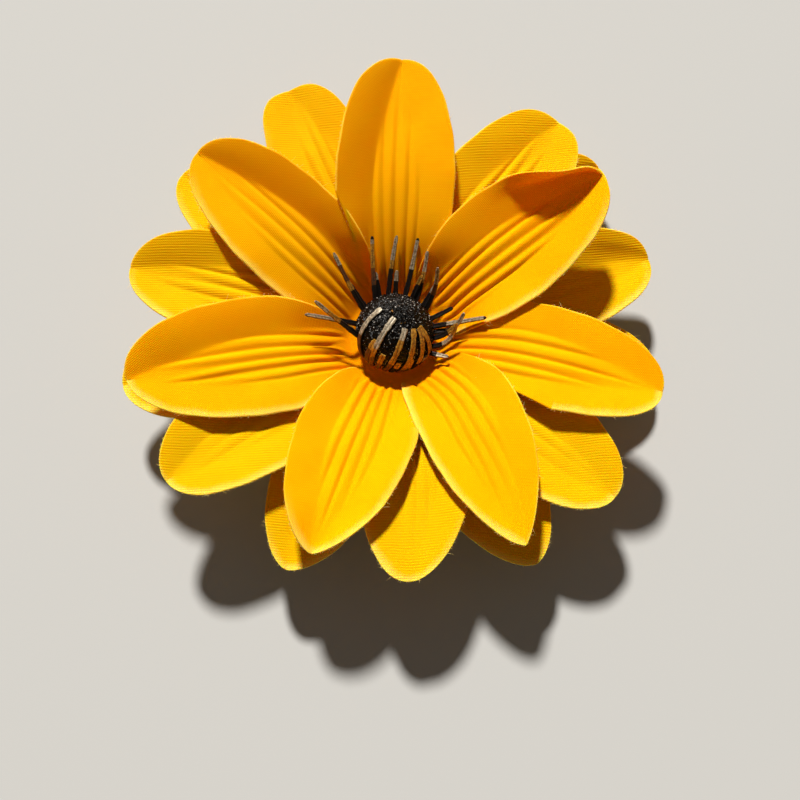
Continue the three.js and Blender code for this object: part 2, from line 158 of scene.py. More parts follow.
# Flanks that stand up more steeply over a stretch of their length, by sheet, azimuth and side (1 left, -1
# right): degrees, the share of the length at the middle of the stretch, its half length, and the share of
# the flank's width at which it turns up. It does so over a share of the width that is left.
STEEPER = {
    ("petals_top", 33, 1): (68, 0.9, 0.19, 0.34),
    ("petals_top", 254, 1): (12, 1.0, 0.2, 0),
    ("petals_top", 254, -1): (10, 1.0, 0.2, 0),
    ("petals_top", 309.6, 1): (10, 1.0, 0.25, 0),
    ("petals_top", 309.6, -1): (10, 0.95, 0.3, 0),
    ("petals_middle", 16, 1): (10, 0.88, 0.18, 0),
    ("petals_bottom", 40.5, 1): (16, 1.0, 0.16, 0),
}
TURNED_OVER = 0.5

# The stamen head: a dome above its widest ring and a bowl below it, which ends at an angle from the pole in
# a flat underside with rings of points at these radii.
HEAD = {
    "z": 10.2,
    "radius": 7.7,
    "crown": 6.6,
    "belly": 7.0,
    "floor": -2.2,
    "ends_at": 100,
    "tilt": 12.0,
    "tilt_azimuth": 45.0,
    "underside": (5.0, 3.0),
}
# The grit on the dome: from the pole it grows to its full height at one angle and ends at another.
GRIT = {"height": 0.085, "from": 12, "to": 96}
# The collar between the head and the sheets, whose top edge lies inside the head, and the peg below it.
COLLAR = {"radius": 3.4, "neck": 3.0, "bottom": 6.8, "top": 7.5, "top_bevel": 0.1, "bevel": 0.15}
PEG = {"radius": 2.0, "bottom": 1.2, "bevel": 0.3}
# The strands' sizes. Their ends are blunt by a share over a short length, and short ones have wider tips.
# Their sides are a little ragged in a slow wave, a quicker and lower one, and one that differs by corner.
STRAND = {
    "root_width": 1.15,
    "tip_width": 0.7,
    "wider_when_short": 0.2,
    "full_length": 10,
    "thickness": 0.7,
    "tip_thickness": 0.45,
    "end": 0.5,
    "blunt": 0.5,
    "ragged": 0.05,
    "waves": (19, 43, 61),
    "lower": 0.8,
    "by_corner": 3,
    "sunk": 1.4,
    "root_lift": -10.0,
    "path_steps": 48,
    "cuts": 26,
    "coat_step": 0.012,
}
# The strands folded up over the dome are flatter ribbons with squarer ends.
HUGGING = {
    "root_width": 1.05,
    "tip_width": 1.15,
    "stand_off": 0.25,
    "blunt": 0.12,
    "ragged": 0.09,
    "path_places": 40,
}

# A strand's section as shares of its half width and half thickness: flat underneath, bevelled, with a shallow
# groove along the middle of its upper face. The last number is 1 where the face that starts there is painted.
SECTION = [
    (-0.8, -1.0, 0),
    (0.8, -1.0, 0),
    (1.0, -0.5, 0),
    (1.0, 0.45, 1),
    (0.78, 0.95, 1),
    (0.22, 1.0, 1),
    (0.0, 0.72, 1),
    (-0.22, 1.0, 1),
    (-0.78, 0.95, 1),
    (-1.0, 0.45, 0),
    (-1.0, -0.5, 0),
]
# The paints on the strands: the bright and the dark tone of each, as a screen shows them, and its roughness.
PAINTS = {
    "brown": ((108, 60, 16), (68, 36, 9), 0.55),
    "ochre": ((188, 138, 40), (118, 76, 17), 0.48),
    "silver": ((182, 168, 142), (106, 93, 74), 0.42),
}
COATS = ["plastic", *PAINTS]

# Paint along a strand from its root is given by where each coat starts, as a share of the length.
# Strands that stand away from the head: azimuth of the root, heading and lift at the root, heading and lift
# at the tip, length, and the paint.
SPLAYED = [
    ((147, 128, 38, 118, 32, 13.5), ((0, "plastic"), (0.44, "ochre"), (0.58, "brown"), (0.82, "silver"))),
    (
        (125, 97, 34, 90, 32, 13.5),
        ((0, "plastic"), (0.35, "brown"), (0.58, "ochre"), (0.9, "silver"), (0.96, "plastic")),
    ),
    ((102, 86, 30, 76, 34, 13), ((0, "plastic"), (0.54, "ochre"), (0.66, "silver"))),
    ((75, 72, 30, 78, 33, 13), ((0, "plastic"), (0.56, "silver"), (0.97, "plastic"))),
    ((56, 62, 30, 84, 38, 11.5), ((0, "plastic"), (0.5, "ochre"), (0.68, "silver"))),
    ((36, 45, 35, 92, 55, 11), ((0, "plastic"), (0.5, "brown"), (0.7, "silver"))),
    ((16, -3, 33, -5, 37, 13.2), ((0, "plastic"), (0.38, "silver"), (0.97, "plastic"))),
    ((-8, -6, 26, 60, 50, 10), ((0, "plastic"), (0.5, "ochre"), (0.72, "silver"))),
    ((-20, -24, 26, 75, 48, 9.5), ((0, "plastic"), (0.45, "silver"), (0.75, "ochre"))),
    ((166, 182, 36, 190, 44, 13), ((0, "plastic"), (0.45, "silver"))),
    ((-163, 157, 44, 152, 46, 13), ((0, "plastic"), (0.5, "ochre"), (0.75, "silver"))),
    ((140, 130, 30, 126, 34, 6), ((0, "plastic"),)),
    ((113, 104, 34, 100, 38, 6), ((0, "plastic"), (0.8, "silver"))),
    ((88, 88, 34, 84, 38, 6), ((0, "plastic"), (0.72, "silver"))),
    ((65, 62, 34, 60, 42, 6.5), ((0, "plastic"), (0.74, "ochre"))),
    ((45, 48, 30, 54, 40, 7), ((0, "plastic"), (0.68, "silver"))),
    ((26, 18, 26, 18, 32, 6), ((0, "plastic"),)),
    ((4, 2, 22, 0, 26, 5), ((0, "plastic"), (0.7, "silver"))),
    ((-31, -30, 22, -18, 26, 5), ((0, "plastic"), (0.6, "silver"))),
]
# Strands folded up over the dome: azimuth and angle from the dome's pole at the root, the same at the tip,
# and the paint.
FOLDED = [
    ((-143, 109, -205, 29), ((0, "brown"), (0.46, "silver"))),
    ((-124, 112, -150, 9), ((0, "brown"), (0.28, "ochre"), (0.46, "silver"))),
    ((-104, 111, -69, 21), ((0, "brown"), (0.34, "ochre"), (0.8, "silver"))),
    ((-83, 112, -42, 27), ((0, "brown"), (0.2, "ochre"))),
    ((-62, 108, -27, 33), ((0, "plastic"), (0.25, "ochre"))),
    ((-36, 105, -23, 33), ((0, "ochre"),)),
    ((-133, 110, -135, 52), ((0, "brown"), (0.7, "ochre"))),
    ((-115, 110, -112, 66), ((0, "brown"), (0.55, "ochre"))),
    ((-94, 112, -86, 76), ((0, "plastic"), (0.6, "ochre"))),
    ((-73, 110, -68, 72), ((0, "plastic"), (0.4, "ochre"))),
    ((-46, 108, -42, 88), ((0, "plastic"), (0.5, "silver"))),
]

# The cap's sizes. The middle of its rounded lower edge lies so far in and so far up, and the corner between
# flange and boss is filled so far out, and a little dished.
CAP = {
    "flange": 7.0,
    "edge": 0.4,
    "edge_middle": (0.1, 0.12),
    "rim": 1.2,
    "shoulder": 1.6,
    "dished": 0.05,
    "fillet": (0.5, 0.4),
    "boss": 4.3,
    "top": 3.2,
    "bore": 2.3,
    "floor": 0.9,
    "round_by": 0.18,
}
# The ring pressed into the cap's underside round the mark of its gate.
GATE = {"inner": 0.9, "outer": 1.7, "slope": 0.1, "sunk": 0.12}

# Loose yarn ends: how many rows by the disc have none, how they lean and bend along the rim and off the
# cloth, their shortest and longest length, the share of longer ones and by how much, the thinnest and
# thickest radius, how deep they start in the cloth, and their taper.
FIBRE = {
    "bare_rows": 16,
    "leans_along": (-1.4, 1.4),
    "leans_off": (-0.3, 0.5),
    "bends_along": (-0.3, 0.3),
    "bends_off": (-0.2, 0.3),
    "lengths": (0.2, 0.55),
    "long_share": 0.06,
    "longer_by": (0.3, 1.0),
    "radii": (0.02, 0.035),
    "sunk": 0.15,
    "taper": 0.6,
}

# Where the camera stands, how far it looks up from straight down, its sensor's width, and how near it sees.
CAMERA = {"place": (1.01, -78.66, 235.2), "tilt": 16, "sensor": 36, "nearest": 10}
# How wide the main light looks, in degrees, and the colours of the two lights.
LIGHT = {"width": 6, "key_colour": (1.0, 0.97, 0.92), "fill_colour": (1.0, 0.85, 0.7)}
FLOOR = {"reach": 4000, "roughness": 0.8}


def ramp(start, end, value):
    return np.clip((value - start) / (end - start), 0.0, 1.0)


def smooth(start, end, value):
    t = ramp(start, end, value)
    return t * t * (3 - 2 * t)


def turned(points, azimuth):
    """Points turned about the Z axis by an azimuth in degrees."""
    c, s = math.cos(math.radians(azimuth)), math.sin(math.radians(azimuth))
    return points @ np.array([[c, s, 0.0], [-s, c, 0.0], [0.0, 0.0, 1.0]])


def unit(vectors):
    return vectors / np.maximum(np.linalg.norm(vectors, axis=-1, keepdims=True), 1e-9)


def direction(heading, lift):
    h, v = math.radians(heading), math.radians(lift)
    return np.array([math.cos(v) * math.cos(h), math.cos(v) * math.sin(h), math.sin(v)])


def piece_from(name, points, faces, materials, replaced, face_materials=None, flat_faces=None):
    """A shown piece from points in millimetres, riding on the one body and standing for CAD nodes."""
    mesh = bpy.data.meshes.new(name)
    mesh.from_pydata((np.asarray(points) * MM).tolist(), [], [list(map(int, face)) for face in faces])
    for material in materials:
        mesh.materials.append(material)
    smooth_faces = np.ones(len(faces), dtype=bool)
    if flat_faces is not None:
        smooth_faces[flat_faces] = False
    mesh.polygons.foreach_set("use_smooth", smooth_faces)
    if face_materials is not None:
        mesh.polygons.foreach_set("material_index", np.asarray(face_materials, dtype=np.int32))
    mesh.update()
    piece = bpy.data.objects.new(name, mesh)
    bpy.context.scene.collection.objects.link(piece)
    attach(piece, "root")
    if replaced:
        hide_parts(*replaced)
    return piece


def add_floats(piece, name, values):
    attribute = piece.data.attributes.new(name, "FLOAT", "POINT")
    attribute.data.foreach_set("value", np.asarray(values, dtype=np.float32))


def add_map(piece, name, places):
    """A UV map from one place for each vertex, in metres."""
    layer = piece.data.uv_layers.new(name=name)
    corners = np.empty(len(piece.data.loops), dtype=np.int32)
    piece.data.loops.foreach_get("vertex_index", corners)
    layer.uv.foreach_set("vector", (np.asarray(places)[corners] * MM).astype(np.float32).ravel())


class Nodes:
    """Short calls for building one material's node tree."""

    def __init__(self, name):
        self.material = bpy.data.materials.new(name)
        self.material.use_nodes = True
        self.tree = self.material.node_tree
        self.shader = self.tree.nodes["Principled BSDF"]

    def node(self, kind, **settings):
        node = self.tree.nodes.new(kind)
        for name, value in settings.items():
            setattr(node, name, value)
        return node

    def plug(self, value, socket):
        if isinstance(value, bpy.types.NodeSocket):
            self.tree.links.new(value, socket)
        else:
            socket.default_value = value

    def math(self, operation, a, b=0.0, c=0.0):
        node = self.node("ShaderNodeMath", operation=operation)
        for value, socket in zip((a, b, c), node.inputs):
            self.plug(value, socket)
        return node.outputs[0]

    def between(self, value, low, high, to_low=0.0, to_high=1.0):
        node = self.node("ShaderNodeMapRange", interpolation_type="SMOOTHSTEP")
        for item, socket in zip((value, low, high, to_low, to_high), node.inputs):
            self.plug(item, socket)
        return node.outputs[0]

    def mix(self, share, a, b):
        node = self.node("ShaderNodeMix", data_type="RGBA", blend_type="MIX")
        self.plug(share, node.inputs["Factor"])
        for value, socket in ((a, node.inputs["A"]), (b, node.inputs["B"])):
            colour_socket = [s for s in node.inputs if s.name == socket.name and s.type == "RGBA"][0]
            self.plug(value if isinstance(value, bpy.types.NodeSocket) else (*value[:3], 1.0), colour_socket)
        return [s for s in node.outputs if s.type == "RGBA"][0]

    def noise(self, place, scale, detail=2.0, roughness=0.5, stretch=(1, 1, 1)):
        mapping = self.node("ShaderNodeMapping")
        self.plug(place, mapping.inputs["Vector"])
        mapping.inputs["Scale"].default_value = stretch
        node = self.node("ShaderNodeTexNoise")
        self.tree.links.new(mapping.outputs[0], node.inputs["Vector"])
        node.inputs["Scale"].default_value = scale
        node.inputs["Detail"].default_value = detail
        node.inputs["Roughness"].default_value = roughness
        return node.outputs["Fac"]

    def bump(self, height, distance, strength=1.0):
        node = self.node("ShaderNodeBump")
        self.plug(height, node.inputs["Height"])
        node.inputs["Distance"].default_value = distance
        node.inputs["Strength"].default_value = strength
        return node.outputs[0]

    def set(self, **values):
        for name, value in values.items():
            self.plug(value, self.shader.inputs[name.replace("_", " ")])
        return self.material


def linear(colour):
    """Scene-linear red, green and blue from a colour as a screen shows it, from 0 to 255."""
    return tuple(((c / 255 + 0.055) / 1.055) ** 2.4 if c > 10 else c / 255 / 12.92 for c in colour)


def cloth_material(name, colour, settings, ribbed):
    """Pressed polyester cloth: fine cross ribs in the way of the weave, a pale cut edge and a soft sheen."""
    n = Nodes(name)
    flat = n.node("ShaderNodeUVMap", uv_map="cloth").outputs[0]
    split = n.node("ShaderNodeSeparateXYZ")
    n.tree.links.new(flat, split.inputs[0])
    along, across = split.outputs[0], split.outputs[1]
    wander = n.noise(flat, 120, 2)
    pitch = settings.thread_pitch
    shifted = n.math("MULTIPLY_ADD", wander, pitch * 1.2, across)
    ribs = n.math("SINE", n.math("MULTIPLY", shifted, 2 * math.pi / pitch))
    threads = n.math("SINE", n.math("MULTIPLY", along, 2 * math.pi / (pitch * 0.8)))
    crossings = n.math("MULTIPLY", ribs, threads)
    slub = n.noise(flat, 900, 2, 0.6, (0.25, 1, 1))
    uneven = n.math("MULTIPLY", ribs, n.between(slub, 0.3, 0.7, 0.3 * ribbed, ribbed))
    checked = n.math("MULTIPLY_ADD", crossings, 1.3 - 0.7 * ribbed, n.math("MULTIPLY", threads, 0.15))
    weave = n.math("ADD", uneven, checked)
    grain = n.noise(flat, 2600, 3, 0.7)

    edge = n.node("ShaderNodeAttribute", attribute_name="edge").outputs["Fac"]
    ragged = n.math("ADD", edge, n.math("MULTIPLY", n.math("SUBTRACT", n.noise(flat, 1400, 2), 0.5), 0.4))
    patchy = n.between(n.noise(flat, 90, 3), 0.36, 0.66, 0.08, 0.65)
    rim = n.math("MULTIPLY", n.between(ragged, 0.05, 0.34, 1.0, 0.0), patchy)
    # A painted highlight: the 'worn' attribute marks a pale band along the rims that face the front.
    worn = n.node("ShaderNodeAttribute", attribute_name="worn").outputs["Fac"]
    wandering = n.math("MULTIPLY_ADD", n.noise(flat, 240, 2), 1.2, edge)
    band = n.math("MULTIPLY", worn, n.between(wandering, 0.6, 2.4, settings.rim_highlight, 0.0))

    from_axis = n.node("ShaderNodeVectorMath", operation="LENGTH")
    n.tree.links.new(flat, from_axis.inputs[0])
    dyed = n.between(from_axis.outputs["Value"], 0.009, 0.03, settings.root_dye, 0.0)
    patches = n.between(n.noise(flat, 90, 3, 0.6), 0.3, 0.7)
    duller = [c * f for c, f in zip(colour, (1.0, 0.95, 0.8))]
    brighter = [c * f for c, f in zip(colour, (1.0, 1.05, 1.2))]
    base = n.mix(patches, duller, brighter)
    between_threads = [c * f for c, f in zip(colour, (0.9, 0.72, 0.45))]
    threaded = n.mix(n.between(weave, -1.2, 1.2, 0.0, 1.0), between_threads, base)
    threaded = n.mix(dyed, threaded, [c * f for c, f in zip(colour, (0.95, 0.45, 0.3))])
    cells = n.node("ShaderNodeTexVoronoi")
    n.tree.links.new(flat, cells.inputs["Vector"])
    cells.inputs["Scale"].default_value = 75
    speck = n.between(cells.outputs["Distance"], 0.009, 0.014, 0.55, 0.0)
    specked = n.mix(speck, threaded, (0.32, 0.1, 0.006))
    # The painted highlight's pale colour, laid over the cloth along the front-facing rims.
    highlit = n.mix(band, specked, linear((255, 218, 98)))
    out = n.mix(rim, highlit, linear((255, 214, 70)))

    height = n.math("ADD", n.math("MULTIPLY", weave, 0.5), n.math("MULTIPLY", grain, 0.5))
    normal = n.bump(height, settings.thread_relief, 0.9)
    n.set(Base_Color=out, Roughness=n.between(grain, 0.3, 0.7, 0.66, 0.85), Normal=normal)
    n.set(Specular_IOR_Level=0.14, Specular_Tint=(1.0, 0.7, 0.0, 1.0))
    n.set(Sheen_Weight=0.05, Sheen_Roughness=0.4, Sheen_Tint=(1.0, 0.7, 0.0, 1.0))
    n.set(Subsurface_Weight=settings.translucence, Subsurface_Radius=(1.0, 0.25, 0.01))
    n.set(Subsurface_Scale=settings.light_travel)
    return n.material


def fibre_material():
    """Loose yarn ends along the cut edge, paler than the cloth."""
    n = Nodes("cloth_fibre")
    place = n.node("ShaderNodeTexCoord").outputs["Object"]
    tone = n.noise(place, 600, 1)
    n.set(Base_Color=n.mix(tone, linear((250, 200, 50)), linear((255, 236, 160))), Roughness=0.6)
    return n.set(Sheen_Weight=0.3)


def across_columns(count):
    """Shares of the half width at which a lobe has its columns of points, closer together over the ridges."""
    even = np.linspace(-1, 1, count)
    return even * (1 - CROWDING["columns"] + CROWDING["columns"] * np.abs(even))


def ridge_wave(kind, place, phase):
    size, turns = RIDGE_WAVES[kind]
    return size * np.sin(turns * place + phase)


class LobeShape:
    """The pressed form of one lobe, in its own frame: how wide it is and how high, along it and across."""

    def __init__(self, sheet_name, lobe):
        self.name = sheet_name
        self.azimuth, self.length, self.half_width, self.power, left, right, *rest = lobe
        self.lap_left, self.lap_right, self.ridge, self.lean, self.tip_slope, self.cup = rest
        self.flank = {1: math.tan(math.radians(left)), -1: math.tan(math.radians(right))}
        self.root = SHEETS[sheet_name]["root"]
        self.run = self.length - self.root
        rng = np.random.default_rng(int(self.azimuth * 10) + len(sheet_name))
        self.phases = rng.uniform(0, 2 * np.pi, 16)

    def centre_line(self, share):
        """Slope, distance out and height of the centre line, which leaves the level disc in a steep cup."""
        root_slope = SHEETS[self.name]["root_slope"]
        fine = np.linspace(0, 1, 900)
        gone = fine * self.run
        steep = np.exp(-((gone / self.cup) ** 2))
        slopes = np.radians(self.tip_slope + (root_slope - self.tip_slope) * steep)
        slopes = slopes * smooth(0, LOBE["bend"], gone)
        step = self.run / (len(fine) - 1)
        middles = (slopes[1:] + slopes[:-1]) / 2
        outs = self.root + np.concatenate([[0], np.cumsum(np.cos(middles) * step)])
        heights = np.concatenate([[0], np.cumsum(np.sin(middles) * step)])
        return [np.interp(share, fine, values)[:, None] for values in (slopes, outs, heights)]

    def width(self, distance):
        """Half the width of the cut outline."""
        widest = LOBE["widest_at"] * self.length
        beyond = self.half_width * (1 - ramp(widest, self.length, distance) ** LOBE["shoulder"]) ** self.power
        rising = np.sin(np.pi / 2 * ramp(self.root, widest, distance)) ** LOBE["waist"]
        before = LOBE["neck"] + (self.half_width - LOBE["neck"]) * rising
        blunt = LOBE["blunt_by"] + LOBE["broad_by"] * max(LOBE["broad_from"] - self.power, 0) ** 3
        return np.where(distance > widest, np.maximum(beyond, blunt), before)

    def band(self, s):
        """Half the width of the ridged band."""
        return BAND["half"] * (1 - ramp(BAND["narrows_at"], 1.0, s) ** BAND["power"]) + BAND["least"]

    def relief(self, s, y, width):
        """Height above the centre line."""
        band = self.band(s)
        span = np.maximum(width - band, FLANK["least_width"])
        past = np.abs(y) - band
        radius = BAND["crease_radius"] * np.minimum(1, span / 2)
        out = (past + np.sqrt(past**2 + radius**2)) / 2 / span
        easing = FLANK["easing"] / 2
        eased = out * (1 - easing * np.minimum(out, FLANK["eased_to"])) / (1 - easing)
        growing = smooth(FLANK["starts_at"], SHEETS[self.name]["flanks_full_at"], s)
        rise = np.where(y > 0, self.flank[1], self.flank[-1]) * span * eased * growing

        p = self.phases
        place = y + ridge_wave("along", s, p[8]) + ridge_wave("across", y, p[9])
        wider = 1 - RIDGES["root_pitch"]
        pitch = RIDGES["pitch"] * (RIDGES["root_pitch"] + wider * smooth(0, RIDGES["full_pitch_at"], s))
        groove = ((1 + np.cos(2 * np.pi * place / pitch)) / 2) ** RIDGES["sharpness"]
        uneven = ridge_wave("start", y, p[10])
        fading = smooth(RIDGES["starts_at"], RIDGES["full_at"], s + uneven / 2)
        fading = fading * (1 - smooth(RIDGES["fades_at"], RIDGES["ends_at"], s + uneven))
        inside = smooth(*RIDGES["side_fade"], band - np.abs(y))
        strength = self.ridge * (1 + ridge_wave("height", y, p[11]))
        pressed = strength * fading * (1 - 2 * groove) * inside

        rolling = [tall * np.sin(down * s + p[k] + over * y) for k, (tall, down, over) in enumerate(ROLLING)]
        return rise + pressed + sum(rolling) * smooth(0.0, 0.25, s)


def turned_up(shape, s, y, h, width):
    """Turns a flank up about a line between the ridged band and the rim, where the table asks for it."""
    for side in (1, -1):
        if (shape.name, shape.azimuth, side) not in STEEPER:
            continue
        degrees, place, reach, begins = STEEPER[shape.name, shape.azimuth, side]
        angle = np.radians(degrees) * np.exp(-(((s - place) / reach) ** 2))
        hinge = side * (shape.band(s) + begins * np.maximum(width - shape.band(s), 0))
        base = shape.relief(s, hinge, width)
        out, up = side * (y - hinge), h - base
        gentle = angle * smooth(0, TURNED_OVER * (1 - begins), out / np.maximum(width, 1e-3))
        moved = out > 0
        y = np.where(moved, hinge + side * (out * np.cos(gentle) - up * np.sin(gentle)), y)
        h = np.where(moved, base + out * np.sin(gentle) + up * np.cos(gentle), h)
    return y, h


def sheet_lobe(settings, sheet_name, lobe, half_left, half_right, thickness, disc_z):
    """Surfaces, cloth places and edge distances of one lobe with its sector of the disc, as grids whose rows
    run away from the axis and whose columns run from its right side to its left."""
    shape = LobeShape(sheet_name, lobe)
    rows = settings.rows
    inner = np.linspace(DISC["hole"], shape.root, DISC["rows"])
    share = 1 - (1 - np.linspace(0, 1, rows)) ** CROWDING["rows"]
    slope, x, z = shape.centre_line(share)
    s = share[:, None]
    distance = shape.root + s * shape.run
    width = shape.width(distance)

    edges, round_edges, trimmed = {}, {}, {}
    for side, half, lap in ((1, half_left, shape.lap_left), (-1, half_right, shape.lap_right)):
        at_line = x * math.tan(half)
        for _ in range(8):
            at_line = (x - np.sin(slope) * shape.relief(s, side * at_line, width)) * math.tan(half)
            at_line = at_line - side * shape.lean * s**2
        past = (LAP["over"] if lap > 0 else LAP["tuck"]) * ramp(LAP["starts"], LAP["full"], x)
        phases = shape.phases[[3 + side, 5 + side]]
        waves = sum(tall * np.sin(turns * s + phase) for (tall, turns), phase in zip(CUT_WAVES, phases))
        free = width * np.where(s > 0.05, 1 + waves, 1)
        edges[side] = np.minimum(free, at_line + past)
        round_edges[side] = np.minimum(free, x * half + past)
        trimmed[side] = at_line + past < free

    part = across_columns(settings.columns)[None, :]
    y = np.where(part > 0, part * edges[1], part * edges[-1])
    around = np.where(part > 0, part * round_edges[1], part * round_edges[-1]) / x
    h = shape.relief(s, y, width)
    lap_zone = smooth(LAP["starts"], LAP["full"], x) * (1 - smooth(LAP["full"] * 2, LAP["ends"], x))
    for side, lap in ((1, shape.lap_left), (-1, shape.lap_right)):
        near_rim = smooth(0.5, 1.0, side * y / edges[side])
        h = h + lap * LAP["lift"] * lap_zone * near_rim

    # The cloth's own places, before any flank is turned up further.
    steps = np.hypot(np.diff(y, axis=1), np.diff(h, axis=1))
    arc = np.concatenate([np.zeros((rows, 1)), np.cumsum(steps, axis=1)], axis=1)
    centre = y.shape[1] // 2
    arc = arc - arc[:, centre : centre + 1]
    flat = np.stack([np.broadcast_to(distance, y.shape), arc, np.zeros_like(y)], axis=-1)
    grade = np.gradient(width[:, 0], distance[:, 0])[:, None]
    from_side = np.where(y > 0, edges[1] - y, edges[-1] + y) / np.hypot(1, grade)
    from_side = from_side + np.where(y > 0, trimmed[1], trimmed[-1]) * NO_RIM["trimmed"]
    from_rim = np.minimum(from_side, (1 - s) * shape.run)
    # The rims that face the front, towards -Y, get a painted highlight: a pale band along the edge.
    from_ahead = np.pi / 2 + np.arctan(np.minimum(grade, 0))
    facing = np.radians(shape.azimuth) + np.where(y > 0, 1, -1) * from_ahead
    southward = smooth(0.0, 0.75, -np.sin(facing))

    y, h = turned_up(shape, s, y, h, width)
    y = y + shape.lean * s**2
    out = x - np.sin(slope) * h
    straight = smooth(CUP["round_to"], CUP["straight_from"], x)
    plan_x = straight * out + (1 - straight) * out * np.cos(around)
    plan_y = straight * y + (1 - straight) * out * np.sin(around)
    grid = np.stack([plan_x, plan_y, disc_z + z + np.cos(slope) * h], axis=-1)

    # The lobe's sector of the disc, whose sides are the halving lines to both neighbours.
    turn = part * np.where(part > 0, half_left, half_right)
    sector_x, sector_y = inner[:, None] * np.cos(turn), inner[:, None] * np.sin(turn)
    sector = np.stack([sector_x, sector_y, np.full_like(sector_y, disc_z)], axis=-1)
    grid = np.concatenate([sector, grid[1:]])
    flat = np.concatenate([sector * [1, 1, 0], flat[1:]])
    from_rim = np.concatenate([np.full_like(sector_y, NO_RIM["disc"]), from_rim[1:]])
    southward = np.concatenate([np.zeros_like(sector_y), southward[1:]])
    normals = unit(np.cross(np.gradient(grid, axis=0), np.gradient(grid, axis=1)))
    normals[: len(inner)] = (0, 0, 1)
    azimuth = shape.azimuth
    return {
        "upper": turned(grid + normals * thickness / 2, azimuth),
        "lower": turned(grid - normals * thickness / 2, azimuth),
        "normals": turned(normals, azimuth),
        "flat": turned(flat, azimuth),
        "edge": np.maximum(from_rim, 0),
        # The 'worn' values mark where the painted highlight lies along the front-facing rims.
        "worn": southward,
        "inner_rows": len(inner),
    }


def petal_sheet(name, material, settings):
    """One sheet: its lobes share the corners of the disc, and each has its own cut edges beyond it."""
    sheet = SHEETS[name]
    disc_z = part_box(name)[0].z / MM + DISC["thickness"] / 2
    lobes = sorted(sheet["lobes"])
    count = len(lobes)
    azimuths = [lobe[0] for lobe in lobes]
    gaps = [math.radians((azimuths[(k + 1) % count] - azimuths[k]) % 360) for k in range(count)]
    thickness = settings.thickness / MM
    grids = [
        sheet_lobe(settings, name, lobe, gaps[k] / 2, gaps[k - 1] / 2, thickness, disc_z)
        for k, lobe in enumerate(lobes)
    ]
    rows, columns = grids[0]["edge"].shape
    inner = grids[0]["inner_rows"]
    index = np.arange(count * rows * columns).reshape(count, rows, columns)
    for k in range(count):
        index[k, :inner, -1] = index[(k + 1) % count, :inner, 0]
    kept, compact = np.unique(index, return_inverse=True)
    compact = compact.reshape(index.shape)
    upper = np.stack([g["upper"] for g in grids]).reshape(-1, 3)[kept]
    lower = np.stack([g["lower"] for g in grids]).reshape(-1, 3)[kept]
    flat = np.stack([g["flat"] for g in grids]).reshape(-1, 3)[kept]
    edge = np.stack([g["edge"] for g in grids]).reshape(-1)[kept]
    worn = np.stack([g["worn"] for g in grids]).reshape(-1)[kept]
    below = len(kept)

    a, b = compact[:, :-1, :-1], compact[:, 1:, :-1]
    c, d = compact[:, 1:, 1:], compact[:, :-1, 1:]
    tops = np.stack([a, b, c, d], axis=-1).reshape(-1, 4)
    bottoms = np.stack([a, d, c, b], axis=-1).reshape(-1, 4) + below
    walls = []
    for k in range(count):
        rim = [*compact[k, inner - 1 :, 0], *compact[k, -1, 1:-1], *compact[k, inner - 1 :, -1][::-1]]
        walls += [(p, p + below, q + below, q) for p, q in zip(rim, rim[1:])]
        hole = compact[k, 0, :]
        walls += [(q, q + below, p + below, p) for p, q in zip(hole, hole[1:])]
    faces = [*tops, *bottoms, *walls]
    walled = np.arange(len(tops) + len(bottoms), len(faces))
    piece = piece_from(
        name.replace("petals_", "petal_sheet_"),
        np.concatenate([upper, lower]),
        faces,
        [material],
        [name],
        flat_faces=walled,
    )
    add_floats(piece, "edge", np.concatenate([edge, edge]))
    # The 'worn' attribute carries the painted highlight of the front-facing rims.
    add_floats(piece, "worn", np.concatenate([worn, worn]))
    add_map(piece, "cloth", turned(np.concatenate([flat, flat]), sheet["grain"])[:, :2])
    return grids


def loose_fibres(name, grids, count, material, seed):
    """Short yarn ends that stand out of the cut edges of a sheet, each a tapered three-sided thread."""
    rng = np.random.default_rng(seed)
    points, faces = [], []
    for g in grids:
        rows = g["edge"].shape[0]
        start_row = g["inner_rows"] + FIBRE["bare_rows"]
        for _ in range(count):
            row = int(rng.integers(start_row, rows - 1))
            column = -1 if rng.random() < 0.5 else 0
            neighbour = -3 if column else 2
            middle = (g["upper"][row, column] + g["lower"][row, column]) / 2
            inside = (g["upper"][row, neighbour] + g["lower"][row, neighbour]) / 2
            along = unit(g["upper"][min(row + 1, rows - 1), column] - g["upper"][row - 1, column])
            normal = g["normals"][row, column]
            out = unit(np.cross(along, normal))
            if np.dot(out, middle - inside) < 0:
                out = -out
            leaning = along * rng.uniform(*FIBRE["leans_along"])
            way = unit(out + leaning + normal * rng.uniform(*FIBRE["leans_off"]))
            length = rng.uniform(*FIBRE["lengths"])
            length += (rng.random() < FIBRE["long_share"]) * rng.uniform(*FIBRE["longer_by"])
            bend = along * rng.uniform(*FIBRE["bends_along"]) + normal * rng.uniform(*FIBRE["bends_off"])
            side = unit(np.cross(way, normal))
            lift = unit(np.cross(side, way))
            radius = rng.uniform(*FIBRE["radii"])
            start = middle - way * FIBRE["sunk"]
            first = len(points)
            for i, share in enumerate((0.0, 0.5, 1.0)):
                centre = start + way * (length + FIBRE["sunk"]) * share + bend * length * share**2
                thick = radius * (1 - FIBRE["taper"] * share)
                for corner in range(3):
                    angle = 2 * math.pi * corner / 3
                    points.append(centre + side * thick * math.cos(angle) + lift * thick * math.sin(angle))
                if i:
                    for corner in range(3):
                        p, q = first + 3 * (i - 1) + corner, first + 3 * (i - 1) + (corner + 1) % 3
                        faces.append((p, q, q + 3, p + 3))
            faces.append((first + 2, first + 1, first))
            faces.append((first + 6, first + 7, first + 8))
    piece_from(name, points, faces, [material], [])


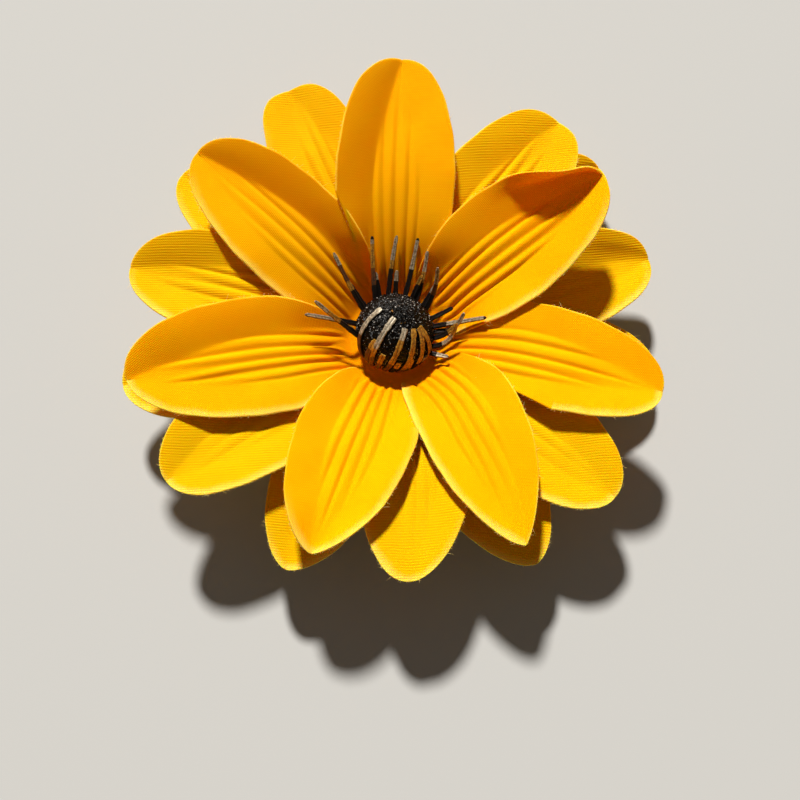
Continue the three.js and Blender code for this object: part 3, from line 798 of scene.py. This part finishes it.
def head_frame():
    """Rotation and centre of the tilted stamen head."""
    azimuth = math.radians(HEAD["tilt_azimuth"])
    axis = Vector((-math.sin(azimuth), math.cos(azimuth), 0))
    return np.array(Matrix.Rotation(math.radians(HEAD["tilt"]), 3, axis)), np.array([0, 0, HEAD["z"]])


def on_head(ways, stand_off):
    """Points that directions from the head's centre lead to, on its surface or a stand-off outside it."""
    ways = np.asarray(ways, dtype=float)
    heights = np.where(ways[..., 2] > 0, HEAD["crown"], HEAD["belly"]) + stand_off
    radius = HEAD["radius"] + stand_off
    local = ways * np.stack([np.full_like(heights, radius), np.full_like(heights, radius), heights], axis=-1)
    turn, centre = head_frame()
    return local @ turn.T + centre


def resampled(path, values, positions):
    """Vectors along a path at given shares of its length."""
    lengths = np.concatenate([[0], np.cumsum(np.linalg.norm(np.diff(path, axis=0), axis=1))])
    at = np.asarray(positions) * lengths[-1]
    return np.stack([np.interp(at, lengths, values[:, k]) for k in range(3)], axis=-1), lengths[-1]


def strand_mesh(path, facing, widths, kind, coats, rng):
    """Points, faces, the paint of each face, and the place across for each point of one strand."""
    blunt, ragged = kind["blunt"], kind["ragged"]
    slow, quick, cornered = STRAND["waves"]
    thicknesses = (STRAND["thickness"], STRAND["tip_thickness"])
    stops = [share for share, _ in coats[1:]]
    after = [min(stop + STRAND["coat_step"], 1) for stop in stops]
    cuts = sorted(set([*np.linspace(0, 1, STRAND["cuts"]), *stops, *after]))
    places, length = resampled(path, path, cuts)
    outs, _ = resampled(path, facing, cuts)
    alongs = unit(np.gradient(places, axis=0))
    outs = unit(outs - alongs * np.sum(outs * alongs, axis=1, keepdims=True))
    sides = np.cross(outs, alongs)
    points, faces, paint, across = [], [], [], []
    ring = len(SECTION)
    wobble = rng.uniform(0, 2 * math.pi, 3)
    for i, share in enumerate(cuts):
        end = 1 - blunt * smooth(1 - STRAND["end"] / length, 1, share)
        uneven = 1 + ragged * math.sin(slow * share + wobble[0])
        uneven += STRAND["lower"] * ragged * math.sin(quick * share + wobble[1])
        half_width = (widths[0] + (widths[1] - widths[0]) * share) / 2 * end * uneven
        half_thickness = (thicknesses[0] + (thicknesses[1] - thicknesses[0]) * share) / 2 * (1 + end) / 2
        for a, t, _ in SECTION:
            jag = 1 + ragged * math.sin(cornered * share + wobble[2] + STRAND["by_corner"] * a)
            points.append(places[i] + sides[i] * a * half_width * jag + outs[i] * t * half_thickness)
            across.append(a * half_width)
        if i:
            coat = [name for start, name in coats if start <= (cuts[i - 1] + cuts[i]) / 2][-1]
            for j, (_, _, painted) in enumerate(SECTION):
                k = (j + 1) % ring
                p = (i - 1) * ring
                faces.append((p + k, p + j, p + ring + j, p + ring + k))
                paint.append(COATS.index(coat) if painted else 0)
    faces.append(tuple(range(ring)))
    paint.append(0)
    last = (len(cuts) - 1) * ring
    faces.append(tuple(last + ring - 1 - j for j in range(ring)))
    paint.append(COATS.index(coats[-1][1]))
    return points, faces, paint, across


def splayed_path(root, heading, lift, end_heading, end_lift, length):
    """A strand's path, which turns evenly from one direction to another, and the way its upper face looks."""
    start, end = direction(heading, lift), direction(end_heading, end_lift)
    count = STRAND["path_steps"]
    total = length + STRAND["sunk"]
    path = [on_head(direction(root, STRAND["root_lift"]), -STRAND["sunk"])]
    for i in range(count):
        share = (i + 0.5) / count
        path.append(path[-1] + unit(start + (end - start) * share) * total / count)
    return np.array(path), np.tile([0.0, 0.0, 1.0], (count + 1, 1))


def folded_path(root_azimuth, root_angle, tip_azimuth, tip_angle, stand_off):
    """A strand's path over the dome by the shortest way, and the way its upper face looks."""
    root, tip = direction(root_azimuth, 90 - root_angle), direction(tip_azimuth, 90 - tip_angle)
    angle = math.acos(float(np.clip(np.dot(root, tip), -1, 1)))
    shares = np.linspace(0, 1, HUGGING["path_places"])[:, None]
    ways = (np.sin((1 - shares) * angle) * root + np.sin(shares * angle) * tip) / math.sin(angle)
    turn, _ = head_frame()
    return on_head(ways, stand_off), ways @ turn.T


def stamen_pieces(settings):
    """The strands, in one piece with a material for each paint, and the dome they grow from."""
    rng = np.random.default_rng(settings.seed)
    materials = [strand_plastic(), *[paint(f"{name}_paint", *tones) for name, tones in PAINTS.items()]]
    points, faces, paint_of, across = [], [], [], []

    def take(made):
        first = len(points)
        points.extend(made[0])
        faces.extend(tuple(first + v for v in face) for face in made[1])
        paint_of.extend(made[2])
        across.extend(made[3])

    for route, coats in SPLAYED:
        path, facing = splayed_path(*route)
        shortness = 1 - min(1.0, route[-1] / STRAND["full_length"])
        widths = (STRAND["root_width"], STRAND["tip_width"] + STRAND["wider_when_short"] * shortness)
        take(strand_mesh(path, facing, widths, STRAND, coats, rng))
    for route, coats in FOLDED:
        path, facing = folded_path(*route, HUGGING["stand_off"])
        widths = (HUGGING["root_width"], HUGGING["tip_width"])
        take(strand_mesh(path, facing, widths, HUGGING, coats, rng))
    slot, replaced = "stamen_plastic", ["stamen_centre"]
    strands = piece_from("stamen_strands", points, faces, materials, replaced, paint_of)
    add_floats(strands, "across", across)
    shade_by_angle(strands, 40)

    dome_points, dome_faces = head_mesh(settings)
    dome = piece_from("stamen_dome", dome_points, dome_faces, [dome_material()], replaced)
    shade_by_angle(dome, 60)


def shade_by_angle(piece, degrees):
    """Marks edges sharper than an angle, so that smooth shading breaks there."""
    mesh = piece.data
    sharp = np.zeros(len(mesh.edges), dtype=bool)
    normals = np.array([p.normal[:] for p in mesh.polygons])
    limit = math.cos(math.radians(degrees))
    sides = {}
    for k, polygon in enumerate(mesh.polygons):
        for key in polygon.edge_keys:
            sides.setdefault(key, []).append(k)
    for k, edge in enumerate(mesh.edges):
        faces = sides.get(tuple(sorted(edge.vertices[:])), [])
        sharp[k] = len(faces) != 2 or float(normals[faces[0]] @ normals[faces[1]]) < limit
    attribute = mesh.attributes.new("sharp_edge", "BOOLEAN", "EDGE")
    attribute.data.foreach_set("value", sharp)


def level_ring(radius, z, azimuths):
    angles = np.radians(azimuths)
    return np.stack([radius * np.cos(angles), radius * np.sin(angles), np.full(len(azimuths), z)], axis=-1)


def skin(rings):
    """Faces over rings of corners listed from the top down, with a fan where a ring is one point."""
    faces = []
    for upper, lower in zip(rings, rings[1:]):
        count = max(len(upper), len(lower))
        for j in range(count):
            k = (j + 1) % count
            if len(upper) == 1:
                faces.append((upper[0], lower[j], lower[k]))
            elif len(lower) == 1:
                faces.append((upper[j], lower[0], upper[k]))
            else:
                faces.append((upper[j], lower[j], lower[k], upper[k]))
    return faces


def numbered(layers):
    """The rings of corner numbers of layers of points that are stacked in one list."""
    rings, first = [], 0
    for layer in layers:
        rings.append(list(range(first, first + len(layer))))
        first += len(layer)
    return rings


def head_mesh(settings):
    """The rough dome on its flat underside, with the collar and peg below it."""
    rings = settings.dome_rings
    segments = 2 * rings
    azimuths = np.linspace(0, 360, segments, endpoint=False)
    rng = np.random.default_rng(settings.seed + 1)
    grit = rng.normal(0, GRIT["height"], (rings, segments))
    layers = []
    for rough, angle in zip(grit, np.linspace(0, HEAD["ends_at"], rings)):
        ways = np.array([direction(azimuth, 90 - angle) for azimuth in azimuths])
        strength = min(1.0, angle / GRIT["from"]) * (1 if angle < GRIT["to"] else 0)
        layers.append(on_head(ways, rough * strength))
    turn, centre = head_frame()
    for radius in HEAD["underside"]:
        layers.append(level_ring(radius, HEAD["floor"], azimuths) @ turn.T + centre)
    collar_bevel, peg_bevel = COLLAR["bevel"], PEG["bevel"]
    profile = [
        (COLLAR["neck"], COLLAR["top"]),
        (COLLAR["radius"], COLLAR["top"] - COLLAR["top_bevel"]),
        (COLLAR["radius"], COLLAR["bottom"] + collar_bevel),
        (COLLAR["radius"] - collar_bevel, COLLAR["bottom"]),
        (PEG["radius"], COLLAR["bottom"]),
        (PEG["radius"], PEG["bottom"] + peg_bevel),
        (PEG["radius"] - peg_bevel, PEG["bottom"]),
    ]
    layers += [level_ring(radius, z, azimuths) for radius, z in profile]
    corners = numbered(layers)
    return np.concatenate(layers), [*skin(corners), tuple(corners[-1][::-1])]


def strand_plastic():
    """Black moulded plastic with a brown cast where it is thin, and small worn nicks."""
    n = Nodes("strand_plastic")
    place = n.node("ShaderNodeTexCoord").outputs["Object"]
    fine = n.noise(place, 3500, 3, 0.6)
    nick = n.between(n.noise(place, 1600, 2), 0.66, 0.72)
    colour = n.mix(nick, (0.006, 0.004, 0.003), (0.04, 0.028, 0.018))
    n.set(Base_Color=colour, Roughness=n.between(fine, 0.3, 0.7, 0.35, 0.6))
    return n.set(Normal=n.bump(fine, 0.00004, 0.7), Specular_IOR_Level=0.25)


def paint(name, colour, shade, roughness):
    """Thin brushed metallic paint, worn off in a broken line along the strand's groove and in flecks."""
    n = Nodes(name)
    place = n.node("ShaderNodeTexCoord").outputs["Object"]
    across = n.node("ShaderNodeAttribute", attribute_name="across").outputs["Fac"]
    streaks = n.noise(place, 2200, 3, 0.65)
    tone = n.mix(n.between(streaks, 0.32, 0.68), linear(shade), linear(colour))
    breaks = n.between(n.noise(place, 900, 2), 0.42, 0.55)
    middle = n.between(n.math("ABSOLUTE", across), 0.03, 0.1, 0.85, 0.0)
    chips = n.between(n.noise(place, 1300, 3, 0.7), 0.62, 0.68)
    worn = n.math("MAXIMUM", n.math("MULTIPLY", middle, breaks), chips)
    sparkle = n.noise(place, 5200, 2)
    height = n.math("SUBTRACT", n.math("MULTIPLY", streaks, 0.5), n.math("MULTIPLY", worn, 0.6))
    height = n.math("ADD", height, n.math("MULTIPLY", sparkle, 0.3))
    n.set(Base_Color=n.mix(worn, tone, (0.02, 0.013, 0.008)), Normal=n.bump(height, 0.00005, 0.8))
    n.set(Roughness=n.between(sparkle, 0.3, 0.7, roughness - 0.1, roughness + 0.15))
    return n.set(Metallic=n.between(worn, 0, 1, 0.2, 0.0))


def dome_material():
    """Black gritty plastic with tiny pale glints painted into its colour, and stray flecks of paint."""
    n = Nodes("dome_plastic")
    place = n.node("ShaderNodeTexCoord").outputs["Object"]
    grit = n.noise(place, 2600, 4, 0.7)
    lumps = n.noise(place, 900, 2)
    # Painted glints: tiny pale spots in the colour that stand for highlights.
    painted_glint = n.between(n.noise(place, 3000, 1, 0.4), 0.69, 0.71)
    gold = n.between(n.noise(place, 1100, 1), 0.74, 0.76)
    colour = n.mix(painted_glint, (0.002, 0.0014, 0.001), (0.5, 0.46, 0.4))
    colour = n.mix(gold, colour, linear((150, 100, 30)))
    height = n.math("ADD", grit, n.math("MULTIPLY", lumps, 0.6))
    n.set(Base_Color=colour, Roughness=n.between(grit, 0.35, 0.65, 0.14, 0.36))
    return n.set(Normal=n.bump(height, 0.00012, 1.0), Specular_IOR_Level=0.14)


def cap_material():
    """Moulded green plastic with a faint grain and scuffs."""
    n = Nodes("cap_plastic")
    place = n.node("ShaderNodeTexCoord").outputs["Object"]
    grain = n.noise(place, 1500, 3, 0.6)
    scuff = n.between(n.noise(place, 260, 4, 0.7, (1, 4, 1)), 0.58, 0.66)
    cloudy = n.between(n.noise(place, 150, 2), 0.3, 0.7)
    base = n.mix(cloudy, linear((38, 78, 34)), linear((52, 98, 44)))
    n.set(Base_Color=n.mix(n.math("MULTIPLY", scuff, 0.4), base, linear((96, 138, 84))))
    n.set(Roughness=n.between(grain, 0.3, 0.7, 0.36, 0.52), Normal=n.bump(grain, 0.00003, 0.6))
    return n.set(Specular_IOR_Level=0.45)


def cap_piece(settings):
    """The pressed-on cap: a turned flange and boss with rounded rims, and the ring of a gate mark below."""
    round_by, edge_in, edge_up = CAP["round_by"], *CAP["edge_middle"]
    fillet_out, fillet_up = CAP["fillet"]
    outline = [
        (0.0, 0.0),
        (GATE["inner"], 0.0),
        (GATE["inner"] + GATE["slope"], GATE["sunk"]),
        (GATE["outer"] - GATE["slope"], GATE["sunk"]),
        (GATE["outer"], 0.0),
        (CAP["flange"] - CAP["edge"], 0.0),
        (CAP["flange"] - edge_in, edge_up),
        (CAP["flange"], CAP["edge"]),
        (CAP["flange"], CAP["rim"] - round_by),
        (CAP["flange"] - round_by, CAP["rim"]),
        (CAP["boss"] + fillet_out, CAP["shoulder"] - CAP["dished"]),
        (CAP["boss"], CAP["shoulder"] + fillet_up),
        (CAP["boss"], CAP["top"] - round_by),
        (CAP["boss"] - round_by, CAP["top"]),
        (CAP["bore"] + round_by, CAP["top"]),
        (CAP["bore"], CAP["top"] - round_by),
        (CAP["bore"], CAP["floor"]),
        (0.0, CAP["floor"]),
    ]
    azimuths = np.linspace(0, 360, settings.segments, endpoint=False)
    layers = [level_ring(radius, z, azimuths if radius else [0]) for radius, z in reversed(outline)]
    points, faces = np.concatenate(layers), skin(numbered(layers))
    cap = piece_from("back_cap_moulding", points, faces, [cap_material()], ["back_cap"])
    shade_by_angle(cap, 50)


LENGTH = {"subtype": "DISTANCE", "unit": "LENGTH"}
ANGLE = {"subtype": "ANGLE", "unit": "ROTATION"}
SHARE = {"subtype": "FACTOR", "min": 0, "max": 1}
COLOUR = {"subtype": "COLOR", "size": 3, "min": 0, "max": 1}


class ClothSettings(bpy.types.PropertyGroup):
    thickness: FloatProperty(
        name="Cloth thickness",
        description="Thickness of the pressed cloth",
        default=0.3 * MM,
        min=0.1 * MM,
        **LENGTH,
    )
    rows: IntProperty(
        name="Rows",
        description="Points along each petal",
        default=84,
        min=12,
    )
    columns: IntProperty(
        name="Columns",
        description="Points across each petal",
        default=77,
        min=9,
    )
    thread_pitch: FloatProperty(
        name="Rib pitch",
        description="Distance between the ribs of the weave",
        default=0.5 * MM,
        **LENGTH,
    )
    thread_relief: FloatProperty(
        name="Rib height",
        description="Height of the weave's relief",
        default=0.07 * MM,
        **LENGTH,
    )
    root_dye: FloatProperty(
        name="Root dye",
        description="How much deeper the cloth is dyed near the centre",
        default=0.6,
        **SHARE,
    )
    # How strong the painted highlight is: a pale band along the rims on the flower's front side.
    rim_highlight: FloatProperty(
        name="Wear",
        description="How pale the rubbed band is along the rims on the flower's front side",
        default=0.6,
        **SHARE,
    )
    translucence: FloatProperty(
        name="Translucence",
        description="Share of the light that spreads inside the cloth",
        default=0.55,
        **SHARE,
    )
    light_travel: FloatProperty(
        name="Light travel",
        description="How far light spreads inside the cloth",
        default=0.9 * MM,
        **LENGTH,
    )
    golden: FloatVectorProperty(
        name="Top colour",
        description="Colour of the top petal sheet",
        default=(0.94, 0.44, 0.0006),
        **COLOUR,
    )
    lemon: FloatVectorProperty(
        name="Lower colour",
        description="Colour of the two lower petal sheets",
        default=(0.76, 0.47, 0.002),
        **COLOUR,
    )
    fibres: IntProperty(
        name="Loose fibres",
        description="Yarn ends along the edge of each petal",
        default=110,
        min=0,
    )


class StamenSettings(bpy.types.PropertyGroup):
    dome_rings: IntProperty(
        name="Dome rings",
        description="Rings of points over the dome",
        default=84,
        min=12,
    )
    seed: IntProperty(
        name="Seed",
        description="Seed of the strands' small unevenness",
        default=7,
    )


class CapSettings(bpy.types.PropertyGroup):
    segments: IntProperty(
        name="Segments",
        description="Sides of the turned cap",
        default=96,
        min=12,
    )


class StageSettings(bpy.types.PropertyGroup):
    floor: FloatVectorProperty(
        name="Floor colour",
        description="Colour of the plain floor",
        default=(0.42, 0.42, 0.41),
        **COLOUR,
    )
    key: FloatProperty(
        name="Key light",
        description="Strength of the main light",
        default=6.2,
        min=0,
    )
    key_azimuth: FloatProperty(
        name="Key azimuth",
        description="Where the main light comes from",
        default=math.radians(102),
        **ANGLE,
    )
    key_elevation: FloatProperty(
        name="Key elevation",
        description="Height of the main light",
        default=math.radians(47),
        **ANGLE,
    )
    fill: FloatProperty(
        name="Fill light",
        description="Strength of the even light around",
        default=0.13,
        min=0,
    )
    lens: FloatProperty(
        name="Lens",
        description="Focal length of the camera in millimetres",
        default=54,
        unit="CAMERA",
    )


class RUDBECKIA_OT_petals(bpy.types.Operator):
    """Build the three pressed cloth petal sheets with their loose edge fibres"""

    bl_idname = "rudbeckia.petals"
    bl_label = "Petal sheets"

    def execute(self, context):
        settings = context.scene.rudbeckia_cloth
        fibre = fibre_material()
        for seed, name in enumerate(SHEETS):
            cloth_name = name.replace("petals_", "cloth_")
            colour = tuple(settings.golden if name == "petals_top" else settings.lemon)
            material = cloth_material(cloth_name, colour, settings, SHEETS[name]["ribs"])
            grids = petal_sheet(name, material, settings)
            loose_fibres(name.replace("petals_", "edge_fibres_"), grids, settings.fibres, fibre, seed)
        return {"FINISHED"}


class RUDBECKIA_OT_stamen(bpy.types.Operator):
    """Build the gritty dome and its painted strands"""

    bl_idname = "rudbeckia.stamen"
    bl_label = "Stamen centre"

    def execute(self, context):
        stamen_pieces(context.scene.rudbeckia_stamen)
        return {"FINISHED"}


class RUDBECKIA_OT_cap(bpy.types.Operator):
    """Build the moulded cap that holds the sheets from behind"""

    bl_idname = "rudbeckia.cap"
    bl_label = "Back cap"

    def execute(self, context):
        cap_piece(context.scene.rudbeckia_cap)
        return {"FINISHED"}


class RUDBECKIA_OT_stage(bpy.types.Operator):
    """Set the plain floor, the soft studio light and the camera"""

    bl_idname = "rudbeckia.stage"
    bl_label = "Stage, light and camera"

    def execute(self, context):
        scene = context.scene
        settings = scene.rudbeckia_stage
        n = Nodes("floor_paint")
        n.set(Base_Color=(*settings.floor, 1.0), Roughness=FLOOR["roughness"])
        reach = FLOOR["reach"] * MM
        corners = [(-reach, -reach, 0), (reach, -reach, 0), (reach, reach, 0), (-reach, reach, 0)]
        mesh = bpy.data.meshes.new("floor")
        mesh.from_pydata(corners, [], [(0, 1, 2, 3)])
        mesh.materials.append(n.material)
        floor = bpy.data.objects.new("floor", mesh)
        scene.collection.objects.link(floor)

        key = bpy.data.lights.new("key", "SUN")
        key.energy = settings.key
        key.angle = math.radians(LIGHT["width"])
        key.color = LIGHT["key_colour"]
        lamp = bpy.data.objects.new("key", key)
        towards = Vector(direction(math.degrees(settings.key_azimuth), math.degrees(settings.key_elevation)))
        lamp.rotation_euler = towards.to_track_quat("Z", "Y").to_euler()
        scene.collection.objects.link(lamp)
        world = bpy.data.worlds.new("studio")
        world.use_nodes = True
        background = world.node_tree.nodes["Background"]
        background.inputs["Color"].default_value = (*LIGHT["fill_colour"], 1.0)
        background.inputs["Strength"].default_value = settings.fill
        scene.world = world
        scene.view_settings.view_transform = "Standard"

        camera = bpy.data.cameras.new("camera")
        camera.lens = settings.lens
        camera.sensor_width = CAMERA["sensor"]
        camera.clip_start = CAMERA["nearest"] * MM
        view = bpy.data.objects.new("camera", camera)
        view.location = Vector(CAMERA["place"]) * MM
        view.rotation_euler = (math.radians(CAMERA["tilt"]), 0, 0)
        scene.collection.objects.link(view)
        scene.camera = view
        return {"FINISHED"}


class RUDBECKIA_PT_panel(bpy.types.Panel):
    """Settings and build steps of the artificial rudbeckia"""

    bl_label = "Rudbeckia"
    bl_idname = "RUDBECKIA_PT_panel"
    bl_space_type = "VIEW_3D"
    bl_region_type = "UI"
    bl_category = "Rudbeckia"

    def draw(self, context):
        for group, operator in STEPS:
            box = self.layout.box()
            settings = getattr(context.scene, group)
            for name in settings.__annotations__:
                box.prop(settings, name)
            box.operator(operator.bl_idname)


GROUPS = {
    "rudbeckia_cloth": ClothSettings,
    "rudbeckia_stamen": StamenSettings,
    "rudbeckia_cap": CapSettings,
    "rudbeckia_stage": StageSettings,
}
STEPS = [
    ("rudbeckia_cloth", RUDBECKIA_OT_petals),
    ("rudbeckia_stamen", RUDBECKIA_OT_stamen),
    ("rudbeckia_cap", RUDBECKIA_OT_cap),
    ("rudbeckia_stage", RUDBECKIA_OT_stage),
]
CLASSES = [*GROUPS.values(), *[operator for _, operator in STEPS], RUDBECKIA_PT_panel]


def register():
    for each in CLASSES:
        bpy.utils.register_class(each)
    for name, group in GROUPS.items():
        setattr(bpy.types.Scene, name, PointerProperty(type=group))


def unregister():
    for name in GROUPS:
        delattr(bpy.types.Scene, name)
    for each in reversed(CLASSES):
        bpy.utils.unregister_class(each)


def main():
    register()
    bpy.ops.rudbeckia.petals()
    bpy.ops.rudbeckia.stamen()
    bpy.ops.rudbeckia.cap()
    bpy.ops.rudbeckia.stage()


if __name__ == "__main__":
    main()
